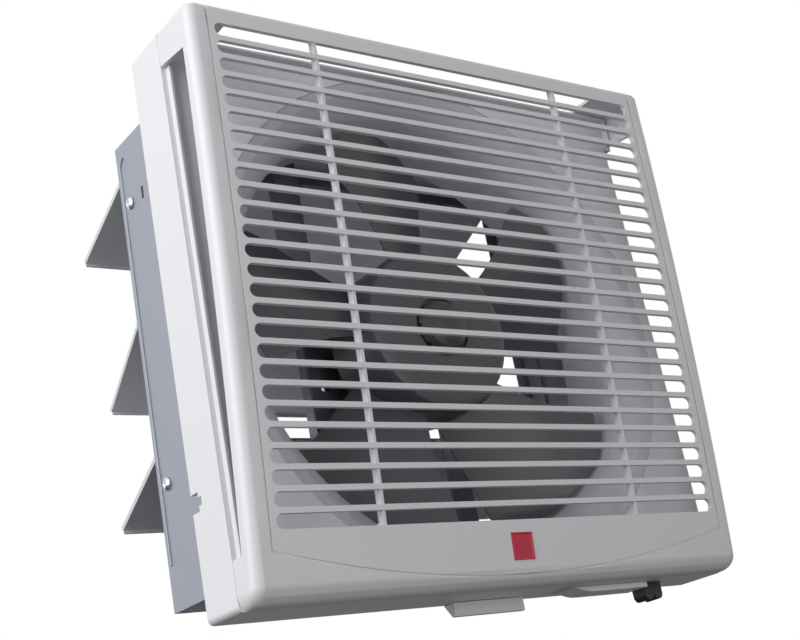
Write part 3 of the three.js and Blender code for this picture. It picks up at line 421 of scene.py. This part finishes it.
class FAN_OT_grille(bpy.types.Operator):
    """Builds the slotted front cover with rounded bars"""
    bl_idname = "fan.grille"
    bl_label = "Grille cover"

    def execute(self, context):
        sizes = context.scene.fan_sizes
        piece = finished_copy("front_grille", "grille_cover")
        for path in self.groove_paths():
            take_away(piece, self.groove(path, sizes.groove_width, sizes.groove_depth))
        soften_edges(piece, sizes.grille_edge, 3, 35, self.beside_groove)
        dress(piece, finishes["grille"], "front_cover", "cover", "front_grille")
        self.opening_rib()
        return {"FINISHED"}

    def beside_groove(self, place):
        """True for a place within a groove's width of the groove."""
        arc = GROOVE_RISE - HALF_HEIGHT + place.x ** 2 / (2 * GROOVE_ARC)
        beside_arc = abs(place.z - arc) < GROOVE_CLEAR
        from_upright = abs(abs(place.x) - HALF_WIDTH + GROOVE_FROM_SIDE)
        beside_upright = from_upright < GROOVE_CLEAR and place.z > arc
        return place.y < front_y(place.z) + FRONT_SKIN and (beside_upright or beside_arc)

    def opening_rib(self):
        """A stiffening rib that hangs from the cover's top along the front of its air opening."""
        front = front_y(HALF_HEIGHT - TOP_ROUND) + OPENING_FROM_FRONT
        rib = add_start("cube", "opening_rib", size=1)
        rib.scale = (2 * (HALF_WIDTH - OPENING_FROM_SIDE), RIB_THICKNESS, RIB_DROP)
        rib.location = (0, front - RIB_THICKNESS / 2, HALF_HEIGHT - TOP_WALL - RIB_DROP / 2 + RIB_SINK)
        settle(rib)
        soften_edges(rib, RIB_THICKNESS * 0.3, 2, 30)
        dress(rib, finishes["grille"], "front_cover", "cover")

    def groove_paths(self):
        """The groove's three runs as (x, z) points: the arc across the lower band, and the two uprights."""
        reach = HALF_WIDTH - GROOVE_FROM_SIDE
        low = GROOVE_RISE - HALF_HEIGHT
        across = [reach * step / GROOVE_ARC_STEPS for step in range(-GROOVE_ARC_STEPS, GROOVE_ARC_STEPS + 1)]
        arc = [(x, low + x ** 2 / (2 * GROOVE_ARC)) for x in across]
        corner = arc[0][1]
        top = HALF_HEIGHT - GROOVE_SHORT_OF_TOP
        upright = [corner + (top - corner) * step / GROOVE_UPRIGHT_STEPS
                   for step in range(GROOVE_UPRIGHT_STEPS + 1)]
        return [arc, [(-reach, z) for z in upright], [(reach, z) for z in upright]]

    def groove(self, path, width, depth):
        """A strip of square section laid along the path, sunk into the front by the groove's depth."""
        upright = path[0][0] == path[-1][0]
        start = add_start("plane", "groove_cutter", size=width)
        settle(start)
        points = [Vector((x, front_y(z), z)) for x, z in path]
        turn = Matrix.Identity(4) if upright else Matrix.Rotation(math.radians(90), 4, "Y")
        shift = Vector((0, depth - width / 2, 0))
        start.data.transform(Matrix.Translation(points[0] + shift) @ turn)
        only(start)
        bpy.ops.object.mode_set(mode="EDIT")
        bpy.ops.mesh.select_all(action="SELECT")
        for here, there in zip(points, points[1:]):
            bpy.ops.mesh.extrude_region_move(TRANSFORM_OT_translate={"value": there - here})
        bpy.ops.mesh.select_all(action="SELECT")
        bpy.ops.mesh.normals_make_consistent(inside=False)
        bpy.ops.object.mode_set(mode="OBJECT")
        return start


class FAN_OT_badge(bpy.types.Operator):
    """Builds the plain square plate on the lower band"""
    bl_idname = "fan.badge"
    bl_label = "Plain plate"

    def execute(self, context):
        sizes = context.scene.fan_sizes
        height = PLATE_HEIGHT
        lean = math.atan2(front_y(height + 5 * MM) - front_y(height - 5 * MM), 10 * MM)
        plate = add_start("cube", "plain_plate", size=1)
        thick = sizes.badge_thickness
        plate.scale = (sizes.badge_side, 2 * thick, sizes.badge_side)
        settle(plate)
        only(plate)
        bpy.ops.object.mode_set(mode="EDIT")
        select_faces(plate, lambda face: face.normal.y < -0.9)
        bpy.ops.mesh.inset(thickness=sizes.badge_side * PLATE_RIM, depth=0)
        bpy.ops.mesh.inset(thickness=thick * PLATE_RIM_SLOPE, depth=-thick * PLATE_DISH)
        bpy.ops.object.mode_set(mode="OBJECT")
        place = Matrix.Translation((PLATE_X, front_y(height), height))
        plate.data.transform(place @ Matrix.Rotation(-lean, 4, "X"))
        soften_edges(plate, thick * 0.35, 3, 30)
        dress(plate, finishes["badge"], "front_cover", None)
        return {"FINISHED"}


class FAN_OT_base(bpy.types.Operator):
    """Builds the base frame and the small mouldings on it"""
    bl_idname = "fan.base"
    bl_label = "Base frame"

    def execute(self, context):
        edge = context.scene.fan_sizes.base_edge
        for node, name, finish, slot in (
                ("base_frame", "base_moulding", "base", "base"),
                ("wire_cover", "wiring_cover", "base", "base"),
                ("terminal_box", "terminal_housing", "base", "base"),
                ("cover_catch", "catch_tab", "grille", "cover"),
                ("cord_gland", "gland_block", "gland", "black")):
            piece = finished_copy(node, name)
            soften_edges(piece, edge, 2, 35)
            dress(piece, finishes[finish], "housing", slot, node)
        return {"FINISHED"}


class FAN_OT_bellmouth(bpy.types.Operator):
    """Builds the flared ring that leads the air to the blades"""
    bl_idname = "fan.bellmouth"
    bl_label = "Bellmouth"

    def execute(self, context):
        piece = finished_copy("bellmouth", "bellmouth_ring")
        smooth(piece, 30)
        dress(piece, finishes["bellmouth"], "housing", "bellmouth", "bellmouth")
        return {"FINISHED"}


class FAN_OT_body_box(bpy.types.Operator):
    """Builds the folded steel box with its hinge strips and motor stays"""
    bl_idname = "fan.body_box"
    bl_label = "Steel body"

    def execute(self, context):
        edge = context.scene.fan_sizes.sheet_edge
        for node in ("body_side_left", "body_side_right", "body_top", "body_bottom", "hinge_strip_left",
                     "hinge_strip_right", "motor_stay_left", "motor_stay_right"):
            piece = finished_copy(node, node + "_sheet")
            soften_edges(piece, edge, 2, 35)
            dress(piece, finishes["steel"], "housing", "steel", node)
        for side in ("left", "right"):
            self.edge_bead(side, context.scene.fan_sizes.bead_width)
        return {"FINISHED"}

    def edge_bead(self, side, width):
        """The bead pressed along the side sheet's rear edge; it turns forward at the top and ends there."""
        low, high = (Vector(corner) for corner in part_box("body_side_" + side))
        out = -BODY_HALF_WIDTH if side == "left" else BODY_HALF_WIDTH
        rear = high.y - BEAD_FROM_REAR
        top = high.z - BEAD_FROM_TOP
        points = [Vector((out, rear, low.z + BEAD_FROM_BOTTOM))]
        for step in range(BEAD_TURN_STEPS + 1):
            turn = math.radians(BEAD_TURN_DEGREES * step / BEAD_TURN_STEPS)
            forward = BEAD_TURN * (1 - math.cos(turn))
            points.append(Vector((out, rear - forward, top + BEAD_TURN * math.sin(turn))))
        bead = add_start("plane", "edge_bead_" + side, size=width)
        settle(bead)
        bead.data.transform(Matrix.Translation(points[0]))
        only(bead)
        bpy.ops.object.mode_set(mode="EDIT")
        bpy.ops.mesh.select_all(action="SELECT")
        for here, there in zip(points, points[1:]):
            bpy.ops.mesh.extrude_region_move(TRANSFORM_OT_translate={"value": there - here})
        bpy.ops.mesh.select_all(action="SELECT")
        bpy.ops.mesh.normals_make_consistent(inside=False)
        bpy.ops.object.mode_set(mode="OBJECT")
        soften_edges(bead, width * 0.3, 3, 40)
        dress(bead, finishes["steel"], "housing", "steel")


class FAN_OT_flaps(bpy.types.Operator):
    """Builds the three shutter flaps and their rods"""
    bl_idname = "fan.flaps"
    bl_label = "Shutter flaps"

    def execute(self, context):
        sizes = context.scene.fan_sizes
        for number in (1, 2, 3):
            piece = finished_copy(f"shutter_flap_{number}", f"flap_leaf_{number}")
            soften_edges(piece, sizes.sheet_edge, 2, 35)
            dress(piece, finishes["flap"], f"flap_{number}", "flap", f"shutter_flap_{number}")
            rod = finished_copy(f"flap_rod_{number}", f"flap_pivot_rod_{number}")
            soften_edges(rod, sizes.rod_edge, 2, 40)
            dress(rod, finishes["plating"], f"flap_{number}", "bright", f"flap_rod_{number}")
        return {"FINISHED"}


class FAN_OT_motor(bpy.types.Operator):
    """Builds the motor's front and rear shells"""
    bl_idname = "fan.motor"
    bl_label = "Motor"

    def execute(self, context):
        for node in ("motor_front_shell", "motor_rear_shell"):
            piece = finished_copy(node, node + "_pressing")
            soften_edges(piece, context.scene.fan_sizes.motor_edge, 2, 40)
            dress(piece, finishes["motor"], "housing", "motor", node)
        return {"FINISHED"}


class FAN_OT_impeller(bpy.types.Operator):
    """Builds the five-blade impeller with its shaft, washer and spinner"""
    bl_idname = "fan.impeller"
    bl_label = "Impeller"

    def execute(self, context):
        edge = context.scene.fan_sizes.blade_edge
        for node, name, finish, slot, angle in (
                ("impeller", "impeller_moulding", "impeller", "impeller", 38),
                ("spinner_nut", "spinner_cap", "spinner", "spinner", 38),
                ("motor_shaft", "shaft_bar", "plating", "bright", 40),
                ("shaft_washer", "washer_ring", "plating", "bright", 40)):
            piece = finished_copy(node, name)
            soften_edges(piece, edge, 2, angle)
            dress(piece, finishes[finish], "rotor", slot, node)
        return {"FINISHED"}


class FAN_OT_screws(bpy.types.Operator):
    """Builds every screw with a rounded head"""
    bl_idname = "fan.screws"
    bl_label = "Screws"

    def execute(self, context):
        sizes = context.scene.fan_sizes
        recess = self.cross_recess(sizes.recess_width, sizes.recess_length)
        for node in sorted(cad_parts):
            if "_screw_" in node:
                piece = finished_copy(node, node + "_bright")
                cutter = bpy.data.objects.new("recess_cutter", recess.data.copy())
                bpy.context.scene.collection.objects.link(cutter)
                cutter.data.transform(self.head_place(node))
                take_away(piece, cutter)
                soften_edges(piece, sizes.screw_edge, 2, 40)
                dress(piece, finishes["plating"], "housing", "bright", node)
        bpy.data.objects.remove(recess)
        return {"FINISHED"}

    def cross_recess(self, width, length):
        """A cross that narrows downwards, as a screwdriver's tip does; its top lies at height 0."""
        cross = add_start("plane", "cross_recess", size=width)
        settle(cross)
        only(cross)
        bpy.ops.object.mode_set(mode="EDIT")
        arm = (length - width) / 2
        for step in ((arm, 0, 0), (-arm, 0, 0), (0, arm, 0), (0, -arm, 0)):
            out = Vector(step).normalized()
            bpy.ops.mesh.select_mode(type="EDGE")
            bpy.ops.mesh.select_all(action="DESELECT")
            shape = bmesh.from_edit_mesh(cross.data)
            for edge in shape.edges:
                middle = (edge.verts[0].co + edge.verts[1].co) / 2
                beside = abs(middle.dot(out) - width / 2) < width * 0.1
                edge.select_set(beside and middle.cross(out).length < width * 0.1)
            bmesh.update_edit_mesh(cross.data)
            bpy.ops.mesh.extrude_region_move(TRANSFORM_OT_translate={"value": step})
        bpy.ops.mesh.select_all(action="SELECT")
        bpy.ops.mesh.extrude_region_move(TRANSFORM_OT_translate={"value": (0, 0, -RECESS_DEPTH)})
        bpy.ops.transform.resize(value=(RECESS_TAPER, RECESS_TAPER, 1), center_override=(0, 0, 0))
        bpy.ops.mesh.select_all(action="SELECT")
        bpy.ops.mesh.normals_make_consistent(inside=False)
        bpy.ops.object.mode_set(mode="OBJECT")
        return cross

    def head_place(self, node):
        """Turns the recess onto the screw's axis and lays its top on the middle of the head."""
        low, high = (Vector(corner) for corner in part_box(node))
        centre = (low + high) / 2
        kind = node.split("_")[0]
        if kind == "strip":
            way = Vector((math.copysign(1, centre.x), 0, 0))
        elif kind == "stay":
            way = Vector((0, 0, math.copysign(1, centre.z)))
        else:
            way = Vector((0, -1 if kind == "motor" else 1, 0))
        top = centre + way * abs((high - low).dot(way)) / 2
        return Matrix.Translation(top) @ way.to_track_quat("Z", "Y").to_matrix().to_4x4()


class FAN_OT_stage(bpy.types.Operator):
    """Sets the floor, the lights, the world and the camera"""
    bl_idname = "fan.stage"
    bl_label = "Stage"

    def execute(self, context):
        stage = context.scene.fan_stage
        self.floor(context, stage)
        self.world(context, stage)
        self.lamp("key_panel", KEY_PLACE, stage.key_power, KEY_SIZE)
        self.lamp("fill_panel", FILL_PLACE, stage.fill_power, WIDE_SIZE)
        self.lamp("back_panel", BACK_PLACE, stage.back_power, WIDE_SIZE)
        self.camera(context)
        context.scene.view_settings.view_transform = "Standard"
        return {"FINISHED"}

    def floor(self, context, stage):
        bpy.ops.object.select_all(action="DESELECT")
        bpy.ops.mesh.primitive_plane_add(size=FLOOR_SIZE, location=(0, 0, 0))
        floor = context.active_object
        floor.name = "studio_floor"
        floor.data.transform(Matrix.Translation((0, 0, stage.floor_height)))
        finish = new_material("pale_matt_floor")
        tree = finish.node_tree
        # The floor looks pale and holds the shadow, but sends less light up than it shows.
        seen = add(tree, "ShaderNodeLightPath").outputs["Is Camera Ray"]
        paint_colour = context.scene.fan_colours.floor
        colour = add(tree, "ShaderNodeMix", {0: seen, 6: tone(paint_colour, FLOOR_BOUNCE),
                                             7: linear(paint_colour)}, data_type="RGBA")
        paint = add(tree, "ShaderNodeBsdfPrincipled", {"Base Color": colour.outputs[2], "Roughness": 0.9})
        add(tree, "ShaderNodeOutputMaterial", {"Surface": paint.outputs["BSDF"]})
        floor.data.materials.append(finish)

    def world(self, context, stage):
        world = bpy.data.worlds.new("studio_world")
        context.scene.world = world
        world.use_nodes = True
        tree = world.node_tree
        tree.nodes.clear()
        rays = add(tree, "ShaderNodeLightPath")
        seen = add(tree, "ShaderNodeMath",
                   {0: rays.outputs["Is Camera Ray"], 1: rays.outputs["Is Glossy Ray"]},
                   operation="MAXIMUM")
        shown = add(tree, "ShaderNodeMath", {0: seen.outputs[0], 1: rays.outputs["Is Transmission Ray"]},
                    operation="MAXIMUM")
        strength = add(tree, "ShaderNodeMapRange", {"Value": shown.outputs[0], "To Min": stage.world_strength,
                                                    "To Max": 1.0})
        light = add(tree, "ShaderNodeBackground",
                    {"Color": (1, 1, 1, 1), "Strength": strength.outputs["Result"]})
        add(tree, "ShaderNodeOutputWorld", {"Surface": light.outputs["Background"]})

    def lamp(self, name, place, power, size):
        light = bpy.data.lights.new(name, "AREA")
        light.energy = power
        light.size = size
        lamp = bpy.data.objects.new(name, light)
        bpy.context.scene.collection.objects.link(lamp)
        lamp.location = place
        lamp.rotation_euler = (-Vector(place)).to_track_quat("-Z", "Y").to_euler()

    def camera(self, context):
        lens = bpy.data.cameras.new("photo_camera")
        lens.lens = CAMERA_LENS
        lens.sensor_width = CAMERA_SENSOR
        lens.clip_start = CAMERA_NEAREST
        camera = bpy.data.objects.new("photo_camera", lens)
        context.scene.collection.objects.link(camera)
        right = Vector(CAMERA_RIGHT).normalized()
        ahead = Vector(CAMERA_AHEAD).normalized()
        up = right.cross(ahead).normalized()
        turn = Matrix((right, up, -ahead)).transposed()
        camera.matrix_world = Matrix.Translation(CAMERA_PLACE) @ turn.to_4x4()
        context.scene.camera = camera


class FAN_PT_panel(bpy.types.Panel):
    """Lists the steps that build the fan"""
    bl_idname = "FAN_PT_panel"
    bl_label = "Exhaust fan"
    bl_space_type = "VIEW_3D"
    bl_region_type = "UI"
    bl_category = "Exhaust fan"

    def draw(self, context):
        for settings in (context.scene.fan_sizes, context.scene.fan_colours, context.scene.fan_stage):
            for name in settings.__annotations__:
                self.layout.prop(settings, name)
        for step in STEPS:
            self.layout.operator(step.bl_idname)


SETTINGS = (FanSizes, FanColours, FanStage)
STEPS = (FAN_OT_materials, FAN_OT_grille, FAN_OT_badge, FAN_OT_base, FAN_OT_bellmouth, FAN_OT_body_box,
         FAN_OT_flaps, FAN_OT_motor, FAN_OT_impeller, FAN_OT_screws, FAN_OT_stage)


def register():
    for cls in (*SETTINGS, *STEPS, FAN_PT_panel):
        bpy.utils.register_class(cls)
    bpy.types.Scene.fan_sizes = bpy.props.PointerProperty(type=FanSizes)
    bpy.types.Scene.fan_colours = bpy.props.PointerProperty(type=FanColours)
    bpy.types.Scene.fan_stage = bpy.props.PointerProperty(type=FanStage)


def unregister():
    del bpy.types.Scene.fan_stage
    del bpy.types.Scene.fan_colours
    del bpy.types.Scene.fan_sizes
    for cls in reversed((*SETTINGS, *STEPS, FAN_PT_panel)):
        bpy.utils.unregister_class(cls)


def main():
    register()
    for step in STEPS:
        area, name = step.bl_idname.split(".")
        getattr(getattr(bpy.ops, area), name)()


if __name__ == "__main__":
    main()
